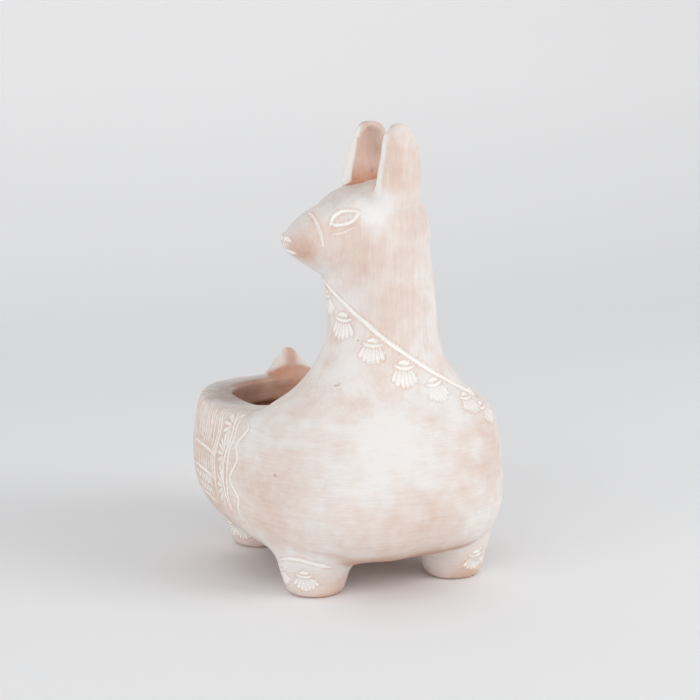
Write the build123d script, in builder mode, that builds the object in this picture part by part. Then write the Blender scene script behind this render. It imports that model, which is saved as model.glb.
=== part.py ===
from build123d import *
from math import cos, pi, radians, sin
import os

# Llama planter of luted clay members. Millimetres, +Z up.
# The llama faces -Y, its right flank is at -X, and its head is turned to look along -X.
# The origin is on the ground, under the middle of the pot.

# Pot. Underside stations: a share of the rise and a share of the inset.
pot_width = 127
pot_length = 152
pot_squareness = 2.7
outline_points = 16
ground_clearance = 16
underside_inset = 20
underside_rise = 12
underside_stations = [(0, 1), (0.3, 0.5), (1, 0.16)]
underside_side_shift = 4
underside_front_shift = 2
belly_height = 47
rim_height = 75
rim_inset = 4
flank_bow = 0.3
rim_rounding = 4
wall = 11
well_floor_inset = 10
floor_thickness = 14
roof_thickness = 12
drain_diameter = 10

# Mouth of the planting well
flank_rim_width = 18
rear_rim_width = 13
mouth_front_gap = 13
mouth_rounding = 2.5

# Neck and the shoulders it grows from
neck_width = 48
neck_depth = 42
neck_inset = 43
neck_shift = 4
neck_lean = 5
neck_height = 66.5
neck_wall = 8
neck_seam_height = 20
shoulder_height = 42
shoulder_side_reach = 31
shoulder_rear_reach = 9.5
shoulder_front_reach = 16
shoulder_swell = 2.1
shoulder_root = 0.95

# Head, measured from the middle of the seam on top of the neck.
# Cranium stations: rise, forward, length, width. Snout stations: forward, low, high, width.
seam_tilt = 22
cranium_stations = [
    (-16, -1.9, 48, 42),
    (-8, -0.95, 48, 42),
    (0, 0, 48, 42.5),
    (8, 0, 47.5, 43),
    (16, 0, 45.6, 43),
    (22, 0.3, 42.6, 41),
    (27, 0.7, 37.4, 36.5),
    (31, 1.2, 28.5, 28),
    (33.4, 1.7, 16, 16),
    (34.2, 2, 5, 5),
]
snout_stations = [
    (8, -1, 33.2, 42),
    (18, -4.5, 30.8, 37.5),
    (26, -5, 26.6, 31),
    (33, -0.6, 22.6, 25),
    (38.5, 3.4, 17.8, 18.5),
    (41.5, 6.6, 14.2, 11.5),
    (42.6, 9, 11.8, 4.5),
]

# Ears, each station a share of the length and a share of the section
ear_length = 42
ear_width = 20
ear_depth = 14
ear_wall = 3.5
ear_front = 7.5
ear_front_turn = 14
ear_opening = 4
ear_scoop_width = 12
ear_scoop_set_back = 0.2
ear_spacing = 30.5
ear_set_back = 3.6
ear_rise = 58.5
ear_turn = 80
ear_stations = [(0, 0.7), (0.2, 0.92), (0.45, 1), (0.75, 0.88), (0.92, 0.64), (1, 0.2)]
ear_scoop_stations = [(0.3, 0.3), (0.45, 0.9), (0.7, 0.92), (0.9, 0.6), (0.96, 0.25)]

# Tail, a peak on a length of the rear rim, each station a share of the height and a share of the section
tail_height = 11
tail_width = 27
tail_depth = 11
tail_seat_depth = 5
tail_stations = [(-0.3, 0.98), (0, 0.94), (0.35, 0.6), (0.7, 0.42), (0.9, 0.28), (1, 0.1)]

# Feet
foot_base_diameter = 24
foot_top_diameter = 33
foot_flare_height = 15
foot_height = 24.5
front_foot_side_inset = 30.5
rear_foot_side_inset = 34
foot_shift = 2.5
front_foot_inset = 36
rear_foot_inset = 37
foot_rounding = 3

# Slip joint between a round root and its socket
joint_clearance = 0.3

# How far a cut runs past the face it opens
cut_overrun = 1

# Places worked out from the driving dimensions
neck_y = -pot_length / 2 + neck_inset
neck_foot = rim_height + shoulder_height
neck_top = rim_height + neck_height
neck_seam = rim_height + neck_seam_height
rim_half_width = pot_width / 2 - rim_inset
rim_half_length = pot_length / 2 - rim_inset
mouth_front = neck_y + neck_depth / 2 + mouth_front_gap
mouth_rear = rim_half_length - rear_rim_width
mouth_half_width = rim_half_width - flank_rim_width
mouth_y = (mouth_front + mouth_rear) / 2
mouth_half_length = (mouth_rear - mouth_front) / 2
well_floor = ground_clearance + floor_thickness
well_roof = rim_height - roof_thickness
front_reach = pot_width / 2 - front_foot_side_inset
rear_reach = pot_width / 2 - rear_foot_side_inset
front_y = -pot_length / 2 + front_foot_inset
rear_y = pot_length / 2 - rear_foot_inset
foot_places = {
    "front_left_foot": (foot_shift + front_reach, front_y),
    "front_right_foot": (foot_shift - front_reach, front_y),
    "rear_left_foot": (foot_shift + rear_reach, rear_y),
    "rear_right_foot": (foot_shift - rear_reach, rear_y),
}
head_seam = Plane(
    origin=(neck_shift - neck_lean * (neck_top - neck_foot) / shoulder_height, neck_y, neck_top),
    x_dir=(cos(radians(seam_tilt)), 0, sin(radians(seam_tilt))),
    z_dir=(-sin(radians(seam_tilt)), 0, cos(radians(seam_tilt))),
)


def rounded_box(half_width, half_length):
    """Points of a closed curve between an ellipse and a rectangle."""
    points = []
    for step in range(outline_points):
        angle = 2 * pi * step / outline_points
        across, along = cos(angle), sin(angle)
        x = half_width * abs(across) ** (2 / pot_squareness)
        y = half_length * abs(along) ** (2 / pot_squareness)
        points.append((x if across > 0 else -x, y if along > 0 else -y))
    return points


def pot_section(height, inset, shift=0):
    centre = (shift * underside_side_shift, -shift * underside_front_shift, height)
    with BuildSketch(Plane(centre)) as section:
        with BuildLine():
            Spline(*rounded_box(pot_width / 2 - inset, pot_length / 2 - inset), periodic=True)
        make_face()
    return section.sketch


# The outside of the pot with the mouth of the well, before the well is hollowed out
pot_sections = []
for rise, inset in underside_stations:
    height = ground_clearance + rise * underside_rise
    shift = ((belly_height - height) / (belly_height - ground_clearance)) ** 2
    pot_sections.append((height, inset * underside_inset, shift))
pot_sections += [
    (belly_height, 0),
    ((belly_height + rim_height) / 2, flank_bow * rim_inset),
    (rim_height, rim_inset),
]
with BuildPart() as pot_form:
    loft([pot_section(*section) for section in pot_sections])
    fillet(pot_form.faces().sort_by(Axis.Z)[-1].edges(), rim_rounding)
    with BuildSketch(Plane.XY.offset(rim_height)):
        with Locations((0, mouth_y)):
            Ellipse(mouth_half_width, mouth_half_length)
    extrude(amount=-roof_thickness - cut_overrun, mode=Mode.SUBTRACT)
    fillet(pot_form.edges(Select.LAST).group_by(Axis.Z)[-1], mouth_rounding)

# The shoulders and the neck in one run, from inside the roof of the pot to above the neck's top seam
with BuildPart() as neck_form:
    runs = [(rim_height - roof_thickness / 2, shoulder_root, 0)]
    for share in (0, 0.25, 0.5, 0.75):
        runs.append((rim_height + share * shoulder_height, (1 - share) ** shoulder_swell, 0))
    for share in (0, 0.25, 0.5, 0.75, 1):
        runs.append((neck_foot + share * shoulder_height, 0, share * neck_lean))
    for height, swell, lean in runs:
        front = neck_y - neck_depth / 2 - shoulder_front_reach * swell
        rear = neck_y + neck_depth / 2 + shoulder_rear_reach * swell
        with BuildSketch(Plane.XY.offset(height)):
            with Locations((neck_shift * (1 - swell) - lean, (front + rear) / 2)):
                Ellipse(neck_width / 2 + shoulder_side_reach * swell, (rear - front) / 2)
    loft()

with BuildPart() as pot_body:
    add(pot_form.part)
    add(neck_form.part)
    split(bisect_by=Plane.XY.offset(neck_seam), keep=Keep.BOTTOM)
    loft(
        [
            pot_section(well_floor, wall + well_floor_inset),
            pot_section((well_floor + well_roof) / 2, wall),
            pot_section(well_roof, wall + rim_inset),
        ],
        mode=Mode.SUBTRACT,
    )
    with Locations((0, mouth_y, ground_clearance)):
        Cylinder(drain_diameter / 2, 2 * (floor_thickness + cut_overrun), mode=Mode.SUBTRACT)
    with Locations((0, pot_length / 2, rim_height)):
        Box(tail_width, pot_length - 2 * mouth_y, 2 * tail_seat_depth, mode=Mode.SUBTRACT)
    with Locations(*foot_places.values()):
        Cylinder(
            foot_top_diameter / 2 + joint_clearance,
            foot_height,
            align=(Align.CENTER, Align.CENTER, Align.MIN),
            mode=Mode.SUBTRACT,
        )

with BuildPart() as neck:
    add(neck_form.part)
    split(bisect_by=Plane.XY.offset(neck_seam), keep=Keep.TOP)
    split(bisect_by=head_seam, keep=Keep.BOTTOM)
    with BuildSketch(Plane.XY.offset(neck_seam)):
        with Locations((neck_shift - neck_lean / 4, neck_y)):
            Ellipse(neck_width / 2 - neck_wall, neck_depth / 2 - neck_wall)
    extrude(amount=neck_height, mode=Mode.SUBTRACT)


def make_ear_form(side, clearance):
    """side is -1 for the ear at -Y and 1 for the ear at +Y; each has a flat front, and its cup opens inwards."""
    root = head_seam.origin + Vector(ear_set_back, side * ear_spacing / 2, ear_rise - ear_length)
    turn = radians(ear_turn)
    stand = Plane(origin=root, x_dir=(-cos(turn), -side * sin(turn), 0), z_dir=(0, 0, 1))
    with BuildPart() as ear_form:
        for share, swell in ear_stations:
            with BuildSketch(stand.offset(share * ear_length)):
                Ellipse(swell * ear_depth / 2 + clearance, swell * ear_width / 2 + clearance)
        loft()
        front_turn = radians(ear_front_turn)
        forward = Vector(-cos(front_turn), -side * sin(front_turn), 0)
        split(bisect_by=Plane(root + forward * (ear_front + clearance), z_dir=forward), keep=Keep.BOTTOM)
        inward = stand.x_dir
        split(bisect_by=Plane(root + inward * (ear_opening + clearance), z_dir=inward), keep=Keep.BOTTOM)
    return ear_form.part, stand


def make_ear(side):
    ear_form, stand = make_ear_form(side, 0)
    with BuildPart() as ear:
        add(ear_form)
        for share, swell in ear_scoop_stations:
            with BuildSketch(stand.offset(share * ear_length)):
                with Locations((ear_opening, side * ear_scoop_set_back)):
                    Ellipse(swell * (ear_opening + ear_depth / 2 - ear_wall), swell * ear_scoop_width / 2)
        loft(mode=Mode.SUBTRACT)
    return ear


with BuildPart() as head:
    cranium = []
    for rise, forward, length, width in cranium_stations:
        with BuildSketch(Plane(head_seam.origin + Vector(-forward, 0, rise))) as section:
            Ellipse(length / 2, width / 2)
        cranium.append(section.sketch)
    loft(cranium)
    snout = []
    for forward, low, high, width in snout_stations:
        middle = head_seam.origin + Vector(-forward, 0, (low + high) / 2)
        with BuildSketch(Plane(middle, x_dir=(0, 0, 1), z_dir=(-1, 0, 0))) as section:
            Ellipse((high - low) / 2, width / 2)
        snout.append(section.sketch)
    loft(snout)
    split(bisect_by=head_seam, keep=Keep.TOP)
    for side in (-1, 1):
        add(make_ear_form(side, joint_clearance)[0], mode=Mode.SUBTRACT)

with BuildPart() as tail:
    add(pot_form.part)
    for share, swell in tail_stations:
        with BuildSketch(Plane.XY.offset(rim_height + share * tail_height)):
            with Locations((0, (mouth_rear + rim_half_length) / 2)):
                Ellipse(swell * tail_width / 2, swell * tail_depth / 2)
    loft()
    with Locations((0, pot_length / 2, rim_height - tail_seat_depth)):
        Box(
            tail_width,
            pot_length - 2 * mouth_y,
            pot_length,
            align=(Align.CENTER, Align.CENTER, Align.MIN),
            mode=Mode.INTERSECT,
        )


def make_foot(x, y):
    with BuildPart() as foot:
        with BuildSketch(Plane((x, y, 0), x_dir=(1, 0, 0), z_dir=(0, -1, 0))):
            with BuildLine():
                Polyline(
                    (0, 0),
                    (foot_base_diameter / 2, 0),
                    (foot_top_diameter / 2, foot_flare_height),
                    (foot_top_diameter / 2, foot_height),
                    (0, foot_height),
                    close=True,
                )
            make_face()
        revolve(axis=Axis((x, y, 0), (0, 0, 1)))
        fillet(foot.edges().group_by(Axis.Z)[0], foot_rounding)
    return foot


pieces = {
    "pot_body": pot_body,
    "neck": neck,
    "head": head,
    "left_ear": make_ear(-1),
    "right_ear": make_ear(1),
    "tail": tail,
}
for name, place in foot_places.items():
    pieces[name] = make_foot(*place)
os.makedirs("parts", exist_ok=True)
for name, piece in pieces.items():
    piece.part.label = name
    export_step(piece.part, f"parts/{name}.step")
    print(name, piece.part.volume, piece.part.is_valid, len(piece.part.solids()), piece.part.bounding_box())
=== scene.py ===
import math
import bmesh
import bpy
import numpy as np
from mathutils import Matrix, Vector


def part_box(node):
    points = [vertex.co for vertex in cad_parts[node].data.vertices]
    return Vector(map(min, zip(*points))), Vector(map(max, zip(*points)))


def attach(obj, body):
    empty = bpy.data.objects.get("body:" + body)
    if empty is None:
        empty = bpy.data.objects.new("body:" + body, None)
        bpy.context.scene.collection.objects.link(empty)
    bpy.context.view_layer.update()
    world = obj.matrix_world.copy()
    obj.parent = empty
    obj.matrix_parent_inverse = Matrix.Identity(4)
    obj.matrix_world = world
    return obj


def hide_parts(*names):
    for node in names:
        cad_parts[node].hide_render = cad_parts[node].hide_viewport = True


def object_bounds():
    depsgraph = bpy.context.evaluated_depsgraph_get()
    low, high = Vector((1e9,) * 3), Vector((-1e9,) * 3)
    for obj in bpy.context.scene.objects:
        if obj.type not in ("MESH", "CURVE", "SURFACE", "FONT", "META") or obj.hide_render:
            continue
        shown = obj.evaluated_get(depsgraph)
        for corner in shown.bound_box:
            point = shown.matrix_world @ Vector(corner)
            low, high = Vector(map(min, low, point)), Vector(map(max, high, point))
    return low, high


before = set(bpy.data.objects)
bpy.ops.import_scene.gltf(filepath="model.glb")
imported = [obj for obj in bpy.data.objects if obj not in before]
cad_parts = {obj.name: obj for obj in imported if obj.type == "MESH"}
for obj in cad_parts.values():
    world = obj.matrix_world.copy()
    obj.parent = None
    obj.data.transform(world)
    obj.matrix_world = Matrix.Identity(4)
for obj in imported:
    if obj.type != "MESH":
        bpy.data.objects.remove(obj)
cadLow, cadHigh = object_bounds()
mm = 0.001

# Llama planter: ten clay members under one skin of whitewash, with ornament cut into it.
# Lists of places are in millimetres, in the frame of the solids.

view = {
    "place": (-0.288, -0.676, 0.227),
    "tilt": 79.96,
    "turn": -23.3,
    "lens": 85,
    "sensor": 36,
}


def setCamera():
    data = bpy.data.cameras.new("photoCamera")
    data.lens = view["lens"]
    data.sensor_width = view["sensor"]
    camera = bpy.data.objects.new("photoCamera", data)
    camera.location = view["place"]
    camera.rotation_euler = (math.radians(view["tilt"]), 0, math.radians(view["turn"]))
    bpy.context.scene.collection.objects.link(camera)
    bpy.context.scene.camera = camera
    print("camera set")


def ease(low, high, value):
    share = np.clip((value - low) / (high - low), 0, 1)
    return share * share * (3 - 2 * share)


# Places that several stages use, read from the solids
potLow, potHigh = (np.array(corner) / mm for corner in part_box("pot_body"))
neckLow, neckHigh = (np.array(corner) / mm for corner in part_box("neck"))
headLow, headHigh = (np.array(corner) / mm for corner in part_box("head"))
neckY = (headLow[1] + headHigh[1]) / 2
neckSeam = neckLow[2]
rimTop = 75.0
headSeam = {"point": (1.08, neckY, 141.5), "tilt": 22}


def zone(points, ramps):
    # one where every ramp has run its length; aside is the way from the middle of the neck
    x, y, z = points.T
    values = {"x": x, "y": y, "z": z, "aside": np.abs(y - neckY)}
    share = np.ones(len(points))
    for name, start, end in ramps:
        share = share * ease(start, end, values[name])
    return share


# The skin: one surface over all the members, with the joints filled by slip
clay = {
    "voxel": 1.42,
    "plugSize": (18, 15),        # fills the closed bore of the neck
    "plugReach": (88, 150),
    "settleRounds": 10,
    "earHold": 0.8,              # the ears keep their edges
    "luteRounds": 56,
    "slipShare": 0.8,
    "slipRest": 0.004,           # flatter hollows than this take no slip
    "rootRounds": 120,           # more slip at the roots of the ears and the tail
    "chestRounds": 56,           # the shoulders run into the chest without an edge
    "tailLean": 2.8,             # the tail's right side is pulled out into a straight slope
    "tailRise": 2,
    "tailPinch": 0.42,           # its peak is pinched narrower
    "tailMiddle": -1.9,
    "earFlare": 2.8,             # the front edges of the ears run out over the brow
    "browDrop": 1.7,
    "browRoot": 3,               # clay pressed into the corner inside the left ear
    "wipeRounds": 14,            # the edges of the ears are wiped smooth
    "handWave": 0.28,
    "footFlat": 0.5,
}

# Where each of these counts: an axis, where it starts and where it is full
clayZones = {
    "earTips": [("z", 170, 178)],
    "chest": [("y", -6, -24), ("z", 50, 66), ("z", 118, 100)],
    "cups": [("z", 175, 187), ("aside", 18, 15), ("x", -8, -4)],
    "earRoots": [("z", 146, 156), ("z", 194, 182)],
    "tailRoot": [("y", 54, 60), ("z", rimTop - 2, rimTop + 1)],
    "lip": [("y", 30, 8), ("z", 60, 67), ("z", rimTop + 3, rimTop + 0.5)],
    "tail": [("y", 50, 55), ("z", rimTop - 1, rimTop + 2)],
    "tailSlope": [("x", 7, -4)],
    "tailPeak": [("z", rimTop + 1, rimTop + 10)],
    "tailTip": [("z", rimTop + 5, rimTop + 13)],
    "earFront": [("z", 160, 171), ("z", 193, 175), ("aside", 6, 11), ("x", 4, -3)],
    "brow": [("x", 3, -6), ("z", 150, 157), ("aside", 24, 16)],
    "leftCorner": [("y", neckY - 2, neckY - 9), ("y", neckY - 13, neckY - 10), ("x", -12, -5),
                   ("x", 12, 4), ("z", 160, 168), ("z", 186, 180)],
    "earEdges": [("z", 160, 168), ("z", 198, 192), ("aside", 4, 8), ("x", 5, 0)],
    "aboveGround": [("z", 2, 8)],
}


def joinedMembers():
    members = bmesh.new()
    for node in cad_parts.values():
        members.from_mesh(node.data)
    plug = bmesh.ops.create_cone(members, cap_ends=True, segments=32, radius1=1, radius2=1, depth=1)
    low, high = clay["plugReach"]
    middle = (neckLow + neckHigh) / 2
    for vert in plug["verts"]:
        vert.co.x = (vert.co.x * clay["plugSize"][0] + middle[0]) * mm
        vert.co.y = (vert.co.y * clay["plugSize"][1] + neckY) * mm
        vert.co.z = (vert.co.z * (high - low) + (low + high) / 2) * mm
    mesh = bpy.data.meshes.new("members")
    members.to_mesh(mesh)
    members.free()
    blank = bpy.data.objects.new("members", mesh)
    bpy.context.scene.collection.objects.link(blank)
    skin = blank.modifiers.new("skin", "REMESH")
    skin.mode = "VOXEL"
    skin.voxel_size = clay["voxel"] * mm
    graph = bpy.context.evaluated_depsgraph_get()
    whole = bpy.data.meshes.new_from_object(blank.evaluated_get(graph))
    bpy.data.objects.remove(blank)
    bpy.data.meshes.remove(mesh)
    return whole


def meshArrays(mesh):
    points = np.empty(len(mesh.vertices) * 3)
    mesh.vertices.foreach_get("co", points)
    mesh.calc_loop_triangles()
    faces = np.empty(len(mesh.loop_triangles) * 3, np.int32)
    mesh.loop_triangles.foreach_get("vertices", faces)
    return points.reshape(-1, 3) / mm, faces.reshape(-1, 3).astype(np.int64)


def edgesOf(faces):
    # edge k of a face joins its corners k and k + 1
    ends = np.sort(np.stack([faces, np.roll(faces, -1, 1)], 2).reshape(-1, 2), 1)
    size = faces.max() + 1
    keys, place = np.unique(ends[:, 0] * size + ends[:, 1], return_inverse=True)
    return np.stack([keys // size, keys % size], 1), place.reshape(-1, 3)


def addUp(index, values, count):
    return np.stack([np.bincount(index, values[:, axis], count) for axis in range(3)], 1)


def normalsOf(points, faces):
    first, second, third = (points[faces[:, corner]] for corner in range(3))
    flat = np.cross(second - first, third - first)
    total = sum(addUp(faces[:, corner], flat, len(points)) for corner in range(3))
    return total / np.maximum(np.linalg.norm(total, axis=1, keepdims=True), 1e-9)


def pullOf(points, net):
    # from each point towards the middle of its neighbours
    links, counts = net
    left, right = links.T
    total = addUp(left, points[right], len(points)) + addUp(right, points[left], len(points))
    return total / counts[:, None] - points


def relax(points, net, share, stepBack=0):
    # smooths the skin, and steps back to keep its volume
    points = points + 0.5 * share[:, None] * pullOf(points, net)
    if stepBack:
        points = points - stepBack * share[:, None] * pullOf(points, net)
    return points


well = {
    "floor": 27,
    "roof": 65,
    "wallInset": 8,              # from the outside of the pot to the middle of its wall
    "squareness": 2.7,
    "mouthMiddle": 30,
    "mouthHalf": (41.5, 29),
    "lipDrop": 3,                # the lip is pressed down towards the neck
}


def mouthReach(points):
    # one along the edge of the mouth, more outside it
    across, along = well["mouthHalf"]
    return np.hypot(points[:, 0] / across, (points[:, 1] - well["mouthMiddle"]) / along)


def wellMask(points):
    # one in the planting well, fading out over the lip of its mouth
    x, y, z = points.T
    half = (potHigh - potLow)[:2] / 2 - well["wallInset"]
    inWalls = ((np.abs(points[:, :2]) / half) ** well["squareness"]).sum(1) < 1
    room = inWalls & (z > well["floor"]) & (z < well["roof"])
    throat = ease(1.05, 0.99, mouthReach(points)) * ease(rimTop, rimTop - 2, z) * (z > well["roof"] - 3)
    return np.maximum(room, throat)


def luteJoints(points, faces, net, outside):
    # slip fills the inner corners between the members, but not the well or the cups of the ears
    slip = outside * (1 - zone(points, clayZones["cups"]))
    roots = np.maximum(zone(points, clayZones["earRoots"]), zone(points, clayZones["tailRoot"]))
    for turn in range(clay["luteRounds"] + clay["rootRounds"]):
        if turn == clay["luteRounds"]:
            slip = slip * roots
        if turn % 10 == 0:
            normals = normalsOf(points, faces)
        lift = np.maximum((pullOf(points, net) * normals).sum(1) - clay["slipRest"], 0)
        points = points + (clay["slipShare"] * slip * lift)[:, None] * normals
    return points


def pressForms(points, faces):
    # the lip, the tail, the front edges of the ears and the brow, as a thumb presses them
    lip = ease(1.5, 1.02, mouthReach(points)) * zone(points, clayZones["lip"])
    points[:, 2] -= well["lipDrop"] * lip
    onTail = zone(points, clayZones["tail"])
    points[:, 0] -= clay["tailLean"] * onTail * zone(points, clayZones["tailSlope"])
    points[:, 2] += clay["tailRise"] * onTail * zone(points, clayZones["tailPeak"])
    pinch = clay["tailPinch"] * onTail * zone(points, clayZones["tailTip"])
    points[:, 0] -= pinch * (points[:, 0] - clay["tailMiddle"])
    points[:, 0] -= clay["earFlare"] * zone(points, clayZones["earFront"])
    upward = ease(0.1, 0.7, normalsOf(points, faces)[:, 2])
    points[:, 2] -= clay["browDrop"] * upward * zone(points, clayZones["brow"])
    points[:, 2] += clay["browRoot"] * upward * zone(points, clayZones["leftCorner"])


def handWave(points):
    # the slow swell and dip of a surface shaped by hand
    x, y, z = points.T
    wave = np.sin(0.083 * x + 0.061 * z + 1.3) * np.sin(0.071 * y - 0.047 * z + 0.4)
    wave += 0.6 * np.sin(0.15 * y + 0.11 * z) * np.sin(0.13 * x - 0.12 * z + 2.2)
    wave += 0.3 * np.sin(0.33 * x + 0.21 * y) * np.sin(0.29 * z - 0.18 * y + 0.7)
    return clay["handWave"] * zone(points, clayZones["aboveGround"]) * wave


def formClay():
    points, faces = meshArrays(joinedMembers())
    links = edgesOf(faces)[0]
    net = (links, np.bincount(links.ravel(), minlength=len(points)))
    settled = 1 - clay["earHold"] * zone(points, clayZones["earTips"])
    for turn in range(clay["settleRounds"]):
        points = relax(points, net, settled, 0.52)
    outside = 1 - wellMask(points)
    chest = outside * zone(points, clayZones["chest"])
    for turn in range(clay["chestRounds"]):
        points = relax(points, net, chest)
    points = luteJoints(points, faces, net, outside)
    pressForms(points, faces)
    wiped = zone(points, clayZones["earEdges"])
    for turn in range(clay["wipeRounds"]):
        points = relax(points, net, wiped, 0.45)
    points = points + handWave(points)[:, None] * normalsOf(points, faces)
    points[:, 2] = np.where(points[:, 2] < clay["footFlat"], 0, points[:, 2])
    print("clay formed:", len(points), "points")
    return points, faces


# Ornament. A stroke is a line on a chart, with a half width at each of its points.
carving = {
    "depth": 0.6,
    "ramp": 0.5,                # from the edge of a stroke to its full depth
    "burr": 0.07,
    "chipDepth": 0.1,
    "fineBands": (0.6, 0.15),   # how far past a stroke's edge the skin is made finer, round by round
}


def smoothLine(points, steps=5):
    # a curve through the points, with the first and last doubled for its ends
    line = np.array([points[0]] + list(points) + [points[-1]], float)
    curve = []
    for before, start, end, after in zip(line, line[1:], line[2:], line[3:]):
        for step in range(steps):
            t = step / steps
            curve.append(0.5 * (2 * start + (end - before) * t
                                + (2 * before - 5 * start + 4 * end - after) * t ** 2
                                + (3 * start - before - 3 * end + after) * t ** 3))
    return np.array(curve + [line[-1]])


def stroke(points, halfWidth, taper=0.55):
    points = np.array(points, float)
    share = np.linspace(0, 1, len(points))
    width = halfWidth * (taper + (1 - taper) * np.minimum(1, 4 * np.minimum(share, 1 - share)))
    return points, width


def petal(root, tip, rootWidth, tipWidth):
    root, tip = np.array(root, float), np.array(tip, float)
    shares = np.array([0, 0.3, 0.75, 1])
    width = np.array([rootWidth, (rootWidth + tipWidth) / 2, tipWidth, tipWidth * 0.75])
    return root + shares[:, None] * (tip - root), width


# A fan has a dome, a collar and petals; across to the right and down, from its middle
fan = {
    "height": 11.5,
    "dome": [(-1.9, -4.4), (0, -4.75), (1.9, -4.4)],
    "domeWidths": (0.6, 1.05, 0.6),
    "collar": [(-4.3, -3.2), (-2.2, -2.4), (0, -2.15), (2.2, -2.4), (4.3, -3.2)],
    "collarWidth": 0.65,
    "petalWidths": (0.5, 0.92),  # at the root and the tip, with six petals
}
tassel = {
    "height": 11.5,
    "drop": 9.7,                 # from the strap to the middle of a tassel
    "petals": 6,
    "spread": 1.0,
}
footFan = {
    "height": 10,
    "petals": 7,
    "spread": 1.15,
}


def turnBy(angle):
    return np.array([(math.cos(angle), math.sin(angle)), (-math.sin(angle), math.cos(angle))])


def fanStrokes(style, height, lean):
    petals, spread = style["petals"], style["spread"]
    rootWidth, tipWidth = fan["petalWidths"]
    strokes = [
        (np.array(fan["dome"]), np.array(fan["domeWidths"])),
        stroke(smoothLine(fan["collar"], 3), fan["collarWidth"]),
    ]
    middle = (petals - 1) / 2
    for number in range(petals):
        side = (number - middle) / middle
        root = (3.5 * side, -0.5 - 0.5 * side ** 2)
        tip = (5.1 * spread * side, 5.2 - 2.3 * side ** 2 * spread)
        strokes.append(petal(root, tip, rootWidth, tipWidth * 6 / petals * spread))
    turn = turnBy(lean)
    scale = height / fan["height"]
    return [(points @ turn * scale, width * scale) for points, width in strokes]


def spotChart(seed, down, reach, strokes, points, normals):
    # a flat chart laid on the clay at the point nearest to the seed
    near = np.linalg.norm(points - np.array(seed), axis=1)
    middle = points[near.argmin()]
    around = np.linalg.norm(points - middle, axis=1) < 3
    out = normals[around].mean(0)
    out = out / np.linalg.norm(out)
    down = np.array(down, float)
    down = down - out * (down @ out)
    down = down / np.linalg.norm(down)
    across = np.cross(out, down)

    def project(points, normals):
        away = points - middle
        pick = np.flatnonzero((np.abs(away).max(1) < reach) & (normals @ out > 0.15))
        return pick, np.stack([away[pick] @ across, away[pick] @ down], 1)
    return {"project": project, "strokes": strokes}


strap = {
    "level": 132.9,              # the strap lies where z = level + slope . (x, y)
    "slope": (-0.67, 0.47),
    "halfWidth": 0.9,
    "reach": (72, 150),          # lowest and highest place on the neck and the shoulders
    "halfAcross": 56,
    "seenTassels": [
        (-20.3, -30.5, 125), (-17.9, -41.3, 114.7), (-9.2, -51.8, 105), (3.1, -57.5, 95.4),
        (18, -57.9, 87.4), (33.9, -56, 80.5), (44.7, -53.9, 75.2),
    ],
    "hiddenTassels": 6,
    "hiddenTurn": (-8, 160),     # where the hidden ones start round the neck, and how far they go
}
strapFall = np.array([-strap["slope"][0], -strap["slope"][1], 1])


def nearStrap(points, back, reach):
    # points close to the plane of the strap, and how far every point is from it
    x, y, z = points.T
    low, high = strap["reach"]
    onNeck = (z > low) & (z < high) & (y < back) & (np.abs(x) < strap["halfAcross"])
    gap = points @ strapFall - strap["level"]
    return np.flatnonzero(onNeck & (np.abs(gap) < reach)), gap


def roundNeck(points):
    return np.degrees(np.arctan2(points[:, 1] - neckY, points[:, 0]))


def strapChart():
    def project(points, normals):
        pick, gap = nearStrap(points, 2, 8)
        slant = normals[pick] @ strapFall
        steep = np.sqrt(np.maximum(strapFall @ strapFall - slant ** 2, 0.05))
        return pick, np.stack([roundNeck(points[pick]), gap[pick] / steep], 1)
    line = np.array([(angle, 0.12 * math.sin(angle / 7)) for angle in range(-184, 185, 8)])
    width = strap["halfWidth"] * (1 + 0.12 * np.sin(np.arange(len(line)) * 1.7))
    return {"project": project, "strokes": [(line, width)]}


def tasselCharts(points, normals, dice):
    seeds = list(strap["seenTassels"])
    loop = nearStrap(points, 5, 1)[0]
    angle = roundNeck(points[loop]) % 360
    first, whole = strap["hiddenTurn"]
    for number in range(strap["hiddenTassels"]):
        # the strap goes on round the far side, from its last seen tassel to its first
        wanted = first + (number + 0.5) * (whole / strap["hiddenTassels"])
        nearest = loop[np.abs((angle - wanted + 180) % 360 - 180).argmin()]
        fall = strapFall - normals[nearest] * (normals[nearest] @ strapFall)
        seeds.append(points[nearest] - fall / np.linalg.norm(fall) * tassel["drop"])
    charts = []
    for seed in seeds:
        height = tassel["height"] * dice.uniform(0.94, 1.05)
        strokes = fanStrokes(tassel, height, dice.uniform(-0.12, 0.12))
        charts.append(spotChart(seed, (0, 0, -1), 9, strokes, points, normals))
    return charts


feet = {
    "fanHeight": 9,
    "fanReach": 15,
    # a white line along the joint of the front right foot, partly white wash and partly a painted highlight
    # on the joint's ridge: turn from the corner of the pot, and height
    "line": [(-40, 16.4), (-18, 18.2), (0, 18.4), (18, 17.4), (38, 15.9), (47, 15.2)],
    "lineCorner": 225,
    "radius": 16.5,
    "turns": {
        "front_right_foot": (179, 231, 127),
        "front_left_foot": (-71, -31, 9),
        "rear_right_foot": (218, 178, 138),
        "rear_left_foot": (2, 42, 82),
    },
}


def footCharts(points, normals, dice):
    charts = []
    for node, turns in feet["turns"].items():
        low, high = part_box(node)
        middle = (low + high) / 2 / mm
        for turn in turns:
            out = (math.cos(math.radians(turn)), math.sin(math.radians(turn)))
            seed = [middle[axis] + out[axis] * feet["fanReach"] for axis in (0, 1)] + [feet["fanHeight"]]
            strokes = fanStrokes(footFan, footFan["height"], dice.uniform(-0.1, 0.1))
            charts.append(spotChart(seed, (0, 0, -1), 8, strokes, points, normals))
    return charts


# the white line on the front right foot's joint: white wash, and a painted highlight on its ridge
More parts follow.
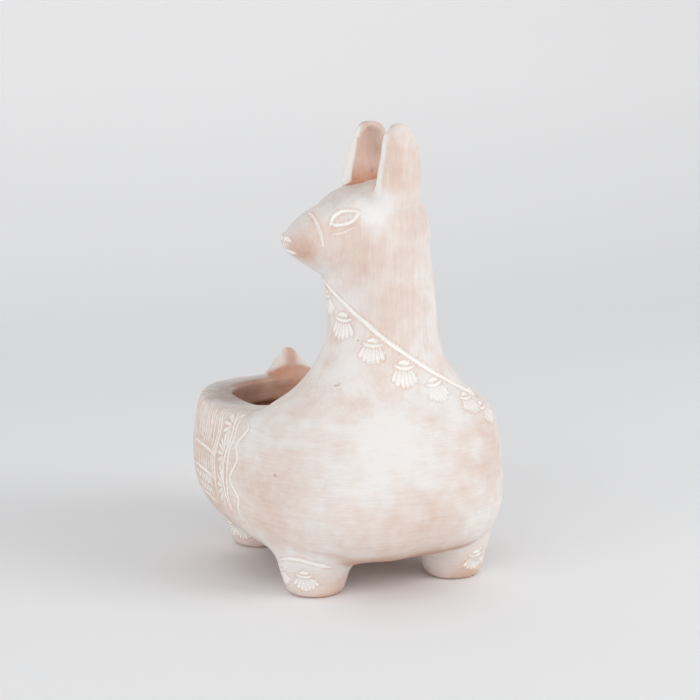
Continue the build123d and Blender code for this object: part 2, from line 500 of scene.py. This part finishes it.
def footLineHighlightChart():
    low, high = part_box("front_right_foot")
    middle = (low + high) / 2 / mm
    perDegree = math.radians(feet["radius"])
    line = smoothLine([(turn * perDegree, height) for turn, height in feet["line"]])

    def project(points, normals):
        away = points - middle
        z = points[:, 2]
        pick = np.flatnonzero((np.abs(away[:, :2]).max(1) < 22) & (z > 10) & (z < 23))
        turn = np.degrees(np.arctan2(away[pick, 1], away[pick, 0])) - feet["lineCorner"]
        turn = (turn + 180) % 360 - 180
        return pick, np.stack([turn * perDegree, z[pick]], 1)
    return {"project": project, "strokes": [stroke(line, 0.75, 0.3)]}


# Chips in the wash: a middle, a half length and a half width, and the slope of the chip
chips = [
    ((-24.5, -50.5, 91.5), 1.1, 0.4, -0.2),
    ((-52.3, -50.9, 56.1), 0.6, 0.5, 0.5),
    ((-14.3, -47.8, 109.5), 0.2, 0.35, 0),
]


def chipCharts(points, normals):
    charts = []
    for middle, halfLength, halfWidth, slope in chips:
        end = halfLength * np.array((math.cos(slope), math.sin(slope)))
        line = smoothLine([-end, 0.2 * end[::-1], end])
        charts.append(spotChart(middle, (0, 0, -1), 5, [stroke(line, halfWidth)], points, normals))
    return charts


# The blanket on each flank: back along Y, and height, which goes on over the rim
blanket = {
    "rimTurn": 57.5,
    "middle": 14,
    "lines": [                   # half width and points, on the front half
        (0.75, [(-12, 86), (-24, 77), (-30, 71.6), (-25, 64), (-27, 58), (-22, 49), (-29, 42),
                (-27, 35.5), (-28.6, 31)]),
        (0.7, [(-15, 82), (-22, 69), (-19, 59.6), (-18.8, 49.8), (-20, 40), (-22, 33)]),
        (0.75, [(-10, 80), (-19.5, 69.6), (-15.3, 57), (-14.4, 49.7), (-17.7, 39.6), (-20, 34)]),
        (0.85, [(-3, 79), (-7.4, 68), (-3.9, 56.4), (-4.5, 46), (-7, 37)]),
        (0.7, [(0, 79), (-4.6, 68), (-1.2, 56.4), (-1.8, 46)]),
    ],
    "fans": [(-18.2, 71), (-15.4, 57.5), (-16.3, 43.5)],
    "fanTurns": range(-72, 73, 24),
    "fanReach": (2.3, 7.6),
    "rays": (-8.5, -5.5, -2.5),
    "bars": (56, 45.5, 34),
    "topCuts": {"gap": 2.7, "foot": 58, "top": 75.5, "halfWidth": 0.62},
    "shortCuts": {"gap": 3.3, "foot": 47.8, "top": 53.6, "halfWidth": 0.8},
    "peaks": {"gap": 4.6, "feet": (36.2, 40.6), "rise": 3.2},
}


def blanketHalf(dice):
    half = [stroke(smoothLine(line), width) for width, line in blanket["lines"]]
    start, end = blanket["fanReach"]
    for middle in blanket["fans"]:
        for turn in np.radians(blanket["fanTurns"]):
            way = np.array((math.cos(turn), 1.15 * math.sin(turn)))
            length = end + dice.uniform(-0.5, 0.5)
            half.append(petal(middle + start * way, middle + length * way, 0.4, 0.8))
    for backY in blanket["rays"]:                            # over the hem, on the rim
        half.append(petal((backY - 3, 77), (backY, 81.5), 0.4, 0.5))
    return half


def blanketStrokes(dice):
    half = blanketHalf(dice)
    strokes = list(half)
    for points, width in half:
        strokes.append((np.stack([2 * blanket["middle"] - points[:, 0], points[:, 1]], 1), width))
    left, right = 0, 2 * blanket["middle"]
    for height in blanket["bars"]:
        bar = [(left - 3, height - 1), (left + 7, height), (right - 7, height), (right + 3, height - 1)]
        strokes.append(stroke(smoothLine(bar), 0.7))
    cut = blanket["topCuts"]                                 # close, uneven upright cuts
    for backY in np.arange(left + 1.5, right - 1, cut["gap"]):
        foot = cut["foot"] + dice.uniform(0, 2)
        line = [(backY + dice.uniform(-0.6, 0.6), height) for height in (foot, foot + 5, foot + 10)]
        line.append((backY - 0.6, cut["top"]))
        strokes.append(stroke(smoothLine(line, 3), cut["halfWidth"]))
    cut = blanket["shortCuts"]                               # between the bars
    for backY in np.arange(left + 1, right, cut["gap"]):
        line = [(backY, cut["foot"]), (backY + dice.uniform(-0.6, 0.6), cut["top"])]
        strokes.append(stroke(line, cut["halfWidth"]))
    peak = blanket["peaks"]                                  # pointed rows over the lowest bar
    for backY in np.arange(left, right + 1, peak["gap"]):
        for height in peak["feet"]:
            tip = (backY + peak["gap"] / 2, height + peak["rise"])
            strokes.append(petal((backY, height), tip, 0.55, 0.75))
            strokes.append(petal((backY + peak["gap"], height), tip, 0.55, 0.75))
    return strokes


def blanketChart(dice):
    strokes = blanketStrokes(dice)

    def project(points, normals):
        x, y, z = points.T
        facing = (normals[:, 0] * np.sign(x) > 0.05) | ((z > rimTop - 6) & (normals[:, 2] > 0.1))
        onFlank = (np.abs(x) > 40) & (z > 26) & (z < rimTop + 3) & (wellMask(points) < 0.5)
        pick = np.flatnonzero(onFlank & facing)
        over = np.maximum(0, blanket["rimTurn"] - np.abs(x[pick]))
        return pick, np.stack([y[pick], z[pick] + over * ease(62, 72, z[pick])], 1)
    return {"project": project, "strokes": strokes}


face = {
    "eye": (-19.9, 161.5),
    "eyeHalf": (6.0, 2.6),
    "eyeRise": 23,
    "lid": [(-25.6, 155.1), (-21.5, 155.6), (-17.3, 157.8)],
    "halter": [(-31.1, 166.5), (-30.9, 163.5), (-30.1, 157), (-29.4, 152.6), (-28.9, 150)],
    "nostril": [(1, 152.3), (3.2, 152.7), (5.5, 151.9)],
    "mouth": [(0.3, 147.6), (2.6, 147.4), (5, 146.7)],
    "philtrum": [(0, 151.5), (0.2, 149.5), (0, 147.5)],
}


def cheekChart():
    # both sides of the head, seen square on
    across, up = face["eyeHalf"]
    turn = turnBy(math.radians(face["eyeRise"]))
    strokes = []
    for arch in (1, -0.85):
        lid = smoothLine([(-across, 0), (-0.55 * across, 0.72 * up * arch), (0.1 * across, up * arch),
                          (0.65 * across, 0.6 * up * arch), (across, 0.12 * up)])
        strokes.append(stroke(lid @ turn + np.array(face["eye"]), 0.6, 0.75))
    strokes.append(stroke(smoothLine(face["lid"]), 0.27))
    strokes.append(stroke(smoothLine(face["halter"]), 0.48, 0.5))

    def project(points, normals):
        x, y, z = points.T
        pick = np.flatnonzero((z > 145) & (z < 170) & (x < -8) & (np.abs(normals[:, 1]) > 0.12))
        return pick, np.stack([x[pick], z[pick]], 1)
    return {"project": project, "strokes": strokes}


def noseChart():
    strokes = [stroke(smoothLine(face[name]), width) for name, width in
               (("nostril", 0.85), ("mouth", 0.8), ("philtrum", 0.6))]

    def project(points, normals):
        x, y, z = points.T
        pick = np.flatnonzero((z > 142) & (z < 156) & (x < -30) & (normals[:, 0] < -0.15))
        return pick, np.stack([np.abs(y[pick] - neckY), z[pick]], 1)
    return {"project": project, "strokes": strokes}


def reachOf(points, normals, charts):
    # signed way to the edge of the nearest stroke: below zero inside it
    reach = np.full(len(points), 9.0)
    for chart in charts:
        pick, flat = chart["project"](points, normals)
        for line, width in chart["strokes"]:
            room = width.max() + 1.5
            near = np.all((flat > line.min(0) - room) & (flat < line.max(0) + room), 1)
            if not near.any():
                continue
            start, run = line[:-1], np.diff(line, axis=0)
            away = flat[near][:, None] - start
            share = np.clip((away * run).sum(2) / np.maximum((run * run).sum(1), 1e-9), 0, 1)
            gap = np.linalg.norm(away - share[..., None] * run, axis=2)
            gap = (gap - width[:-1] - share * np.diff(width)).min(1)
            reach[pick[near]] = np.minimum(reach[pick[near]], gap)
    return reach


def splitEdges(points, faces, chosen, faceLinks, links):
    # each chosen edge gets a middle point, and the faces beside it are divided to suit
    middles = np.full(len(links), -1)
    middles[chosen] = len(points) + np.arange(chosen.sum())
    points = np.concatenate([points, points[links[chosen]].mean(1)])
    cuts = middles[faceLinks]
    count = (cuts >= 0).sum(1)
    out = [faces[count == 0]]
    full = count == 3
    (a, b, c), (ab, bc, ca) = faces[full].T, cuts[full].T
    out += [np.stack(trio, 1) for trio in ((a, ab, ca), (ab, b, bc), (ca, bc, c), (ab, bc, ca))]
    for first in range(3):
        order = [first, (first + 1) % 3, (first + 2) % 3]
        single = (count == 1) & (cuts[:, first] >= 0)
        a, b, c = faces[single][:, order].T
        ab = cuts[single, first]
        out += [np.stack(trio, 1) for trio in ((a, ab, c), (ab, b, c))]
        double = (count == 2) & (cuts[:, order[2]] < 0)
        a, b, c = faces[double][:, order].T
        ab, bc = cuts[double][:, order[:2]].T
        out += [np.stack(trio, 1) for trio in ((ab, b, bc), (a, ab, bc), (a, bc, c))]
    return points, np.concatenate(out)


def carve(points, faces):
    normals = normalsOf(points, faces)
    dice = np.random.default_rng(7)
    charts = [strapChart(), cheekChart(), noseChart(), blanketChart(dice), footLineHighlightChart()]
    charts += tasselCharts(points, normals, dice) + footCharts(points, normals, dice)
    chipped = chipCharts(points, normals)
    for band in carving["fineBands"]:
        links, faceLinks = edgesOf(faces)
        way = normals[links].sum(1)
        way = way / np.maximum(np.linalg.norm(way, axis=1, keepdims=True), 1e-9)
        chosen = reachOf(points[links].mean(1), way, charts + chipped) < band
        points, faces = splitEdges(points, faces, chosen, faceLinks, links)
        normals = normalsOf(points, faces)
    reach = reachOf(points, normals, charts)
    chipReach = reachOf(points, normals, chipped)
    depth = carving["depth"] * ease(0, carving["ramp"], -reach)
    depth -= carving["burr"] * ease(0.5, 0.15, np.abs(reach - 0.1))
    depth += carving["chipDepth"] * ease(0.1, -0.2, chipReach)
    points = points - depth[:, None] * normals
    low, high = (np.array(corner) / mm for corner in (cadLow, cadHigh))
    points = np.clip(points, low, high)
    marks = {
        "fill": ease(0.12, -0.2, reach),
        # a ring round each cut: thinner wash, and painted shade along the cut's edge
        "edge": ease(0.5, 0.1, np.abs(reach - 0.3)),
        "chip": ease(0.15, -0.15, chipReach),
    }
    print("ornament cut:", len(faces), "faces")
    return points, faces, marks


# Where the wash is worn thin, where it is thick and where the clay is bare: a middle, a radius and a share
thinPlaces = [
    ((2, -54, 122), 17, 0.55), ((-12, -52, 146), 15, 0.5), ((8, -52, 160), 13, 0.4),
    ((5, -50, 175), 10, 0.35), ((-30, -44, 152), 12, 0.5), ((-52, -45, 45), 24, 0.5),
    ((0, -72, 28), 30, 0.5), ((40, -66, 60), 22, 0.45), ((58, -20, 45), 34, 0.3),
    ((-58, 10, 50), 40, 0.55), ((-40, -5, 75), 20, 0.4), ((0, 76, 45), 40, 0.35),
    ((10, -12, 120), 22, 0.4), ((6, -56, 182), 17, 0.42), ((6, -10, 182), 17, 0.42),
    ((-17, -53, 151), 13, 0.6), ((-22, -64, 85), 9, 0.3), ((28, -70, 45), 12, 0.3),
    ((-18, -72, 30), 16, 0.35), ((14, -62, 78), 8, 0.25), ((-52, -47, 34), 10, 0.4),
    ((-20.5, -38, 110), 5, 0.45), ((-24, -40.5, 100), 5, 0.4), ((-37, -44, 148), 9, 0.8),
    ((-37, -22, 148), 9, 0.7), ((38, -53, 3), 9, 0.7), ((-27, -53, 3), 11, 0.5),
    ((-47, -56, 57), 13, 0.45), ((4, -54, 143), 11, 0.5),
]
whitePlaces = [
    ((-5, -74, 60), 22, 0.32), ((16, -60, 82), 12, 0.3), ((-22, -50, 98), 12, 0.25),
    ((20, -40, 120), 10, 0.3), ((-9, -54, 166), 8, 0.5), ((-20, -38, 138), 9, 0.22),
    ((30, -64, 62), 8, 0.3), ((-12, -66, 76), 9, 0.3),
]
barePlaces = [
    ((-37, -43, 147.5), 8, 0.3), ((-37, -23, 147.5), 8, 0.26), ((38, -53, 2), 6, 0.25),
]
paint = {
    "thin": 0.3,                 # the wash over all
    # thinner wash and painted shade in a ring round each cut
    "thinAndShadeAtCuts": 0.5,
    "thinAtGround": 0.3,
    "thinOnEars": 0.3,
    "thickOnRim": 0.3,
    "bareWell": 0.95,
    "bareRim": 0.3,
    "bareRear": 0.8,
    "bareStripe": 0.7,           # up the middle of the tail
    "bareUnder": 0.7,
    "bareGround": 0.12,
    "bareCup": (0.38, 0.45),     # in the ears' cups, and more at their roots
    "bareChip": 0.5,
    "whiteEdge": 0.75,           # on the front edges of the ears
    # painted shadow on the rim and painted shade in the well, in a darker grey
    "shadowOnRim": 0.42,
    "shadeInWell": 0.55,
    "tailMiddle": -1,
    "rearRise": 4.5,             # the bare clay is higher in the middle of the rear lip
}
paintZones = {
    "rim": [("z", rimTop - 3, rimTop - 0.5), ("z", rimTop + 4, rimTop + 1)],
    "ground": [("z", 9, 2)],
    "footEdge": [("z", 5, 1)],
    "under": [("z", 30, 20)],
    "rear": [("y", 50, 56), ("z", rimTop - 3, rimTop - 1)],
    "rearLip": [("y", 38, 50), ("z", rimTop - 5, rimTop - 3), ("z", rimTop + 4, rimTop + 1)],
    "crest": [("y", 56, 60), ("z", rimTop + 10, rimTop + 13)],
    "earSide": [("z", 169, 174), ("x", 6, 0)],
    "earFront": [("z", 169, 174), ("aside", 7, 10), ("x", 1.5, -0.5)],
    "cup": [("z", 169, 174), ("aside", 7, 10.5)],
    "cupRoot": [("z", 183, 174)],
    # the painted shadow on the rim and the painted shade in the well grow towards the left, -x
    "shadowOnRim": [("x", 25, -25)],
    "shadeInWell": [("x", 14, -34)],
    "upright": [("z", 76, 86)],
}


def gather(points, places):
    amount = np.zeros(len(points))
    for middle, radius, share in places:
        away = np.linalg.norm(points - np.array(middle), axis=1)
        amount = np.maximum(amount, share * ease(radius * 1.35, radius * 0.3, away))
    return amount


def paintClay(points, normals, marks):
    at = {name: zone(points, ramps) for name, ramps in paintZones.items()}
    reach, inWell = mouthReach(points), wellMask(points)
    forward, left, up = -normals[:, 0], -normals[:, 1], normals[:, 2]
    rim = at["rim"] * ease(0.5, 0.9, up)

    thin = paint["thin"] + gather(points, thinPlaces) - gather(points, whitePlaces)
    # round the cuts the wash is thinner and painted darker as shade; near the ground it is thinner
    thin += paint["thinAndShadeAtCuts"] * marks["edge"] + paint["thinAtGround"] * at["ground"]
    thin += paint["thinOnEars"] * at["earSide"] * ease(0.8, 0.6, forward) - paint["thickOnRim"] * rim

    # white front edges on the ears, and clay in their cups
    inward = left * np.sign(points[:, 1] - neckY)
    turned = forward - 0.72 + 0.24 * ease(0, 0.3, inward)
    front = at["earFront"] * ease(0, 0.2, turned)
    cup = at["cup"] * ease(-0.3, 0.1, inward) * (1 - front)
    cupShare, rootShare = paint["bareCup"]

    # clay on the rear lip, and in a stripe up the tail
    aside = np.abs(points[:, 0] - paint["tailMiddle"])
    rear = at["rear"] * ease(0, 0.35, left)
    rise = points[:, 2] - rimTop - paint["rearRise"] * ease(16, 2, aside)
    bare = np.max([
        gather(points, barePlaces),
        paint["bareWell"] * inWell,
        paint["bareRim"] * rim * ease(1.4, 1.0, reach),
        paint["bareRear"] * rear * ease(1.5, -0.5, rise),
        paint["bareRear"] * at["rearLip"] * ease(1.16, 1.05, reach),
        paint["bareStripe"] * np.maximum(rear, at["crest"]) * ease(5, 0.5, aside),
        paint["bareUnder"] * at["under"] * ease(-0.6, -0.95, up),
        paint["bareGround"] * at["footEdge"],
        cup * (cupShare + rootShare * at["cupRoot"]),
        paint["bareChip"] * marks["chip"],
    ], axis=0)

    # painted shadow of the neck on the left of the rim near the mouth, and painted shade on the left wall
    # of the well
    shadow = np.maximum(paint["shadowOnRim"] * rim * ease(1.6, 1.05, reach) * at["shadowOnRim"],
                      paint["shadeInWell"] * inWell * at["shadeInWell"])
    return {
        "thin": np.clip(thin, 0, 1),
        "bare": bare,
        "fill": np.maximum(marks["fill"], paint["whiteEdge"] * front),
        "shadow": shadow,
        "upright": at["upright"],
    }


# The members, cut from the skin where the solids meet
seamTilt = math.radians(headSeam["tilt"])
seamUp = (-math.sin(seamTilt), 0, math.cos(seamTilt))
cuts = {
    "feet": 15.8,
    "footMiddle": 2.5,
    "tail": rimTop + 0.8,
    "tailFront": 45,
    "earInner": (9.5, 33.5),     # aside from the middle, and above the head's seam
    "earOuter": (23.5, 19),
}


def earPlane(side):
    (innerY, innerRise), (outerY, outerRise) = cuts["earInner"], cuts["earOuter"]
    out = np.array([0, side * (innerRise - outerRise), outerY - innerY])
    point = np.array([0, neckY + side * innerY, headSeam["point"][2] + innerRise])
    return point, out / np.linalg.norm(out)


def squarePlane(axis, place, side, where=None):
    point, way = np.zeros(3), np.zeros(3)
    point[axis] = place
    way[axis] = side
    return point, way, where


def cutsOf(node):
    # planes that a member is cut by, each a point, the way that is kept, and where the cut counts
    seamPoint, seamWay = np.array(headSeam["point"]), np.array(seamUp)
    beforeTail = squarePlane(1, cuts["tailFront"], -1)
    if node.endswith("_foot"):
        side = 1 if "left" in node else -1
        end = 1 if "rear" in node else -1
        middle = squarePlane(0, cuts["footMiddle"], side)
        return [squarePlane(2, cuts["feet"], -1), middle, squarePlane(1, 0, end)]
    if node == "tail":
        return [squarePlane(1, cuts["tailFront"], 1), squarePlane(2, cuts["tail"], 1)]
    if node == "pot_body":
        underTail = squarePlane(2, cuts["tail"], -1, (1, cuts["tailFront"], 1))
        return [squarePlane(2, cuts["feet"], 1), squarePlane(2, neckSeam, -1), underTail]
    if node == "neck":
        return [squarePlane(2, neckSeam, 1), (seamPoint, -seamWay, None), beforeTail]
    if node == "head":
        planes = [(seamPoint, seamWay, None)]
        for side in (-1, 1):
            point, out = earPlane(side)
            planes.append((point, -out, (1, neckY, side)))
        return planes
    side = -1 if node == "left_ear" else 1
    return [(*earPlane(side), None), squarePlane(1, neckY, side), beforeTail]


def cutMember(member, planes):
    # cuts along the planes and closes each cut with flat faces
    capMark = member.faces.layers.int.new("cap")
    for point, way, where in planes:
        chosen = list(member.faces)
        if where:
            axis, edge, side = where
            chosen = [face for face in chosen if (face.calc_center_median()[axis] / mm - edge) * side > 0]
        parts = set(chosen)
        for face in chosen:
            parts.update(face.verts)
            parts.update(face.edges)
        cut = bmesh.ops.bisect_plane(member, geom=list(parts), plane_co=point * mm, plane_no=way,
                                     dist=1e-7, clear_inner=True)
        edges = [part for part in cut["geom_cut"] if isinstance(part, bmesh.types.BMEdge)]
        rims = [edge for edge in edges if edge.is_boundary]
        caps = bmesh.ops.holes_fill(member, edges=rims, sides=0)["faces"]
        for face in bmesh.ops.triangulate(member, faces=caps)["faces"]:
            face[capMark] = 1
            for edge in face.edges:
                if any(not other[capMark] for other in edge.link_faces):
                    edge.smooth = False
    for face in member.faces:
        face.smooth = not face[capMark]
    bmesh.ops.triangulate(member, faces=member.faces)
    bmesh.ops.recalc_face_normals(member, faces=member.faces)


def memberMesh(node, points, faces, layers, normals):
    planes = cutsOf(node)
    keep = np.ones(len(faces), bool)
    for point, way, where in planes:
        kept = ((points - point) @ way > 0)[faces].any(1)
        if where:
            axis, edge, side = where
            kept |= ((points[faces].mean(1)[:, axis] - edge) * side < 0)
        keep &= kept
    used, corners = np.unique(faces[keep], return_inverse=True)
    mesh = bpy.data.meshes.new(node)
    mesh.from_pydata(points[used] * mm, [], corners.reshape(-1, 3))
    for name, values in layers.items():
        mesh.attributes.new(name, "FLOAT", "POINT").data.foreach_set("value", values[used])
    skin = mesh.attributes.new("skinNormal", "FLOAT_VECTOR", "POINT")
    skin.data.foreach_set("vector", normals[used].ravel())
    member = bmesh.new()
    member.from_mesh(mesh)
    cutMember(member, planes)
    member.to_mesh(mesh)
    member.free()
    setNormals(mesh)
    return mesh


def setNormals(mesh):
    # members shade as one skin, and only their hidden joint faces stay flat
    skin = np.empty(len(mesh.vertices) * 3, np.float32)
    mesh.attributes["skinNormal"].data.foreach_get("vector", skin)
    skin = skin.reshape(-1, 3)
    skin /= np.maximum(np.linalg.norm(skin, axis=1, keepdims=True), 1e-6)
    owner = np.empty(len(mesh.loops), np.int32)
    mesh.loops.foreach_get("vertex_index", owner)
    cap = np.empty(len(mesh.polygons), np.int32)
    mesh.attributes["cap"].data.foreach_get("value", cap)
    flat = np.empty(len(mesh.polygons) * 3, np.float32)
    mesh.polygons.foreach_get("normal", flat)
    corners = np.where(np.repeat(cap, 3)[:, None] > 0, np.repeat(flat.reshape(-1, 3), 3, 0), skin[owner])
    mesh.normals_split_custom_set(corners)
    for name in ("skinNormal", "cap"):
        mesh.attributes.remove(mesh.attributes[name])


# Whitewash over fired clay
finish = {
    "wash": (0.855, 0.82, 0.795),
    "thinWash": (0.72, 0.545, 0.455),
    "clay": (0.6, 0.27, 0.145),
    "clayDark": (0.4, 0.17, 0.095),
    "cutWhite": (0.97, 0.945, 0.915),
    # the grey of the painted shadow and shade
    "shadow": (0.22, 0.175, 0.155),
    "levelBrush": (55, 55, 850),
    "uprightBrush": (600, 600, 30),
    "mottle": (42, 4, 0.6),      # scale, detail and roughness of each texture
    "cloud": (150, 3, 0.5),
    "streak": (1, 3, 0.6),
    "hairs": (3.1, 2, 0.6),
    "grain": (1500, 2, 0.5),
    "wear": {"mottle": 1.15, "cloud": 0.9, "streak": 0.6, "hairs": 0.65, "grain": 0.16},
    "wearLevel": 0.52,
    "wearGain": 0.9,
    "bumpStrength": 0.35,
    "bumpDepth": 0.0005,
    "specular": 0.3,
}
# the fourth layer is painted shadow and shade, not a colour of the clay
paintLayers = ("Thin", "Bare", "Fill", "Shadow", "Upright")


def addNode(tree, kind, inputs=None, **settings):
    node = tree.nodes.new(kind)
    for name, value in settings.items():
        setattr(node, name, value)
    for name, value in (inputs or {}).items():
        if isinstance(value, bpy.types.NodeSocket):
            tree.links.new(value, node.inputs[name])
        else:
            node.inputs[name].default_value = value
    return node


def mathNode(tree, operation, first, second, third=None, clamp=False):
    inputs = {0: first, 1: second}
    if third is not None:
        inputs[2] = third
    return addNode(tree, "ShaderNodeMath", inputs, operation=operation, use_clamp=clamp).outputs[0]


def addShare(tree, value, share, base, clamp=False):
    return mathNode(tree, "MULTIPLY_ADD", value, share, base, clamp)


def mixColour(tree, share, first, second):
    node = addNode(tree, "ShaderNodeMix", data_type="RGBA")
    for place, value in ((0, share), (6, first), (7, second)):
        if isinstance(value, bpy.types.NodeSocket):
            tree.links.new(value, node.inputs[place])
        else:
            node.inputs[place].default_value = value if place == 0 else (*value, 1)
    return node.outputs[2]


def noise(tree, where, scale, detail, roughness):
    inputs = {"Vector": where, "Scale": scale, "Detail": detail, "Roughness": roughness}
    return addNode(tree, "ShaderNodeTexNoise", inputs).outputs[0]


def brushMarks(tree, place, upright, texture):
    # level round the body, upright on the neck and the head
    marks = []
    for brush in (finish["levelBrush"], finish["uprightBrush"]):
        drawn = addNode(tree, "ShaderNodeVectorMath", {0: place, 1: brush}, operation="MULTIPLY").outputs[0]
        marks.append(noise(tree, drawn, *texture))
    level, standing = marks
    return addShare(tree, mathNode(tree, "SUBTRACT", standing, level), upright, level)


def washGroup():
    # colour, roughness and height of brushed whitewash, from the painted amounts
    group = bpy.data.node_groups.new("brushedWash", "ShaderNodeTree")
    for name in paintLayers:
        group.interface.new_socket(name, in_out="INPUT", socket_type="NodeSocketFloat")
    group.interface.new_socket("Colour", in_out="OUTPUT", socket_type="NodeSocketColor")
    for name in ("Roughness", "Height"):
        group.interface.new_socket(name, in_out="OUTPUT", socket_type="NodeSocketFloat")
    given = addNode(group, "NodeGroupInput").outputs
    place = addNode(group, "ShaderNodeTexCoord").outputs["Object"]
    textures = {name: noise(group, place, *finish[name]) for name in ("mottle", "cloud", "grain")}
    for name in ("streak", "hairs"):
        textures[name] = brushMarks(group, place, given["Upright"], finish[name])
    cloud, streak, grain = (textures[name] for name in ("cloud", "streak", "grain"))

    # how much of the wash is rubbed away
    wear = given["Thin"]
    for name, share in finish["wear"].items():
        around = mathNode(group, "SUBTRACT", textures[name], finish["wearLevel"])
        wear = addShare(group, around, share, wear)
    wear = mathNode(group, "MULTIPLY", wear, finish["wearGain"], clamp=True)
    colour = mixColour(group, wear, finish["wash"], finish["thinWash"])

    # bare clay, then painted shadow and shade, then the white that pools in the cuts
    dark = addShare(group, textures["mottle"], 1.6, -0.35, True)
    burnt = mixColour(group, dark, finish["clay"], finish["clayDark"])
    uneven = addShare(group, cloud, 0.5, addShare(group, streak, 0.35, 0.58))
    bare = mathNode(group, "MULTIPLY", given["Bare"], uneven, clamp=True)
    colour = mixColour(group, bare, colour, burnt)
    shadowShare = mathNode(group, "MULTIPLY", given["Shadow"], addShare(group, cloud, 0.9, 0.55), clamp=True)
    colour = mixColour(group, shadowShare, colour, finish["shadow"])
    pooled = mathNode(group, "MULTIPLY", given["Fill"], addShare(group, cloud, 0.5, 0.68), clamp=True)
    colour = mixColour(group, pooled, colour, finish["cutWhite"])

    rough = addShare(group, grain, 0.18, 0.70)
    height = addShare(group, streak, 0.55, mathNode(group, "MULTIPLY", grain, 0.5))
    height = addShare(group, cloud, 0.5, height)
    addNode(group, "NodeGroupOutput", {"Colour": colour, "Roughness": rough, "Height": height})
    return group


def washMaterial(name, group):
    material = bpy.data.materials.new(name)
    material.use_nodes = True
    tree = material.node_tree
    tree.nodes.clear()
    wash = addNode(tree, "ShaderNodeGroup", node_tree=group)
    for label in paintLayers:
        painted = addNode(tree, "ShaderNodeAttribute", attribute_name=label.lower())
        tree.links.new(painted.outputs["Fac"], wash.inputs[label])
    bump = addNode(tree, "ShaderNodeBump", {
        "Height": wash.outputs["Height"],
        "Strength": finish["bumpStrength"], "Distance": finish["bumpDepth"]})
    surface = addNode(tree, "ShaderNodeBsdfPrincipled", {
        "Base Color": wash.outputs["Colour"], "Roughness": wash.outputs["Roughness"],
        "Normal": bump.outputs[0], "Specular IOR Level": finish["specular"]})
    addNode(tree, "ShaderNodeOutputMaterial", {"Surface": surface.outputs[0]})
    return material


def makeMembers(points, faces, marks):
    normals = normalsOf(points, faces)
    layers = paintClay(points, normals, marks)
    wash = washMaterial("brushedTerracotta", washGroup())
    for node in sorted(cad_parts):
        mesh = memberMesh(node, points, faces, layers, normals)
        mesh.materials.append(wash)
        piece = bpy.data.objects.new("clay_" + node, mesh)
        bpy.context.scene.collection.objects.link(piece)
        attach(piece, "root")
        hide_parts(node)
        print("member", node, len(mesh.polygons), "faces")


# The studio: a pale sweep, a soft key from the upper right, a fill from the left
studio = {
    "front": -1.6,
    "bend": 0.6,
    "bendRadius": 0.6,
    "bendSteps": 24,
    "top": 2.6,
    "halfWidth": 2.6,
    "paper": (0.915, 0.92, 0.93),
    # the back of the sweep is painted paler, as painted light on the backdrop
    "paintedLightBackPaper": (0.99, 0.99, 1.0),
    "paperRise": 0.2,            # height at which the painted light on the paper is full, as pale as at the back
    "paperRough": 0.9,
    "keyPlace": (1.0, -1.0, 0.75),
    "keySize": 0.9,
    "keyPower": 9.5,
    "fillPlace": (-1.2, -0.8, 0.45),
    "fillSize": 1.4,
    "fillPower": 9,
    "aim": (0, 0, 0.1),
    "worldLevel": 0.52,
}


def paperMaterial():
    paper = bpy.data.materials.new("palePaper")
    paper.use_nodes = True
    tree = paper.node_tree
    surface = tree.nodes["Principled BSDF"]
    surface.inputs["Roughness"].default_value = studio["paperRough"]
    place = addNode(tree, "ShaderNodeTexCoord").outputs["Object"]
    height = addNode(tree, "ShaderNodeSeparateXYZ", {0: place}).outputs[2]
    # painted light: the paper grows paler with height
    share = mathNode(tree, "MULTIPLY", height, 1 / studio["paperRise"], clamp=True)
    colour = mixColour(tree, share, studio["paper"], studio["paintedLightBackPaper"])
    tree.links.new(colour, surface.inputs["Base Color"])
    return paper


def makeSweep():
    bend, radius = studio["bend"], studio["bendRadius"]
    profile = [(studio["front"], 0)]
    for step in range(studio["bendSteps"] + 1):
        turn = math.radians(90 * step / studio["bendSteps"])
        profile.append((bend + radius * math.sin(turn), radius * (1 - math.cos(turn))))
    profile.append((bend + radius, studio["top"]))
    verts = [(side * studio["halfWidth"], y, z) for y, z in profile for side in (-1, 1)]
    quads = [(2 * row, 2 * row + 1, 2 * row + 3, 2 * row + 2) for row in range(len(profile) - 1)]
    mesh = bpy.data.meshes.new("sweep")
    mesh.from_pydata(verts, [], quads)
    mesh.shade_smooth()
    mesh.materials.append(paperMaterial())
    sweep = bpy.data.objects.new("sweep", mesh)
    bpy.context.scene.collection.objects.link(sweep)


def setLamps():
    for name in ("key", "fill"):
        data = bpy.data.lights.new(name, "AREA")
        data.size = studio[name + "Size"]
        data.energy = studio[name + "Power"]
        lamp = bpy.data.objects.new(name, data)
        lamp.location = studio[name + "Place"]
        x, y, z = np.array(studio["aim"]) - np.array(studio[name + "Place"])
        lamp.rotation_euler = (math.atan2(math.hypot(x, y), -z), 0, math.atan2(-x, y))
        bpy.context.scene.collection.objects.link(lamp)
    world = bpy.data.worlds.new("studio")
    world.use_nodes = True
    sky = world.node_tree.nodes["Background"]
    sky.inputs["Color"].default_value = (1, 1, 1, 1)
    sky.inputs["Strength"].default_value = studio["worldLevel"]
    bpy.context.scene.world = world


def setStudio():
    makeSweep()
    setLamps()
    bpy.context.scene.view_settings.view_transform = "Standard"
    print("studio set")


setCamera()
clayPoints, clayFaces = formClay()
makeMembers(*carve(clayPoints, clayFaces))
setStudio()
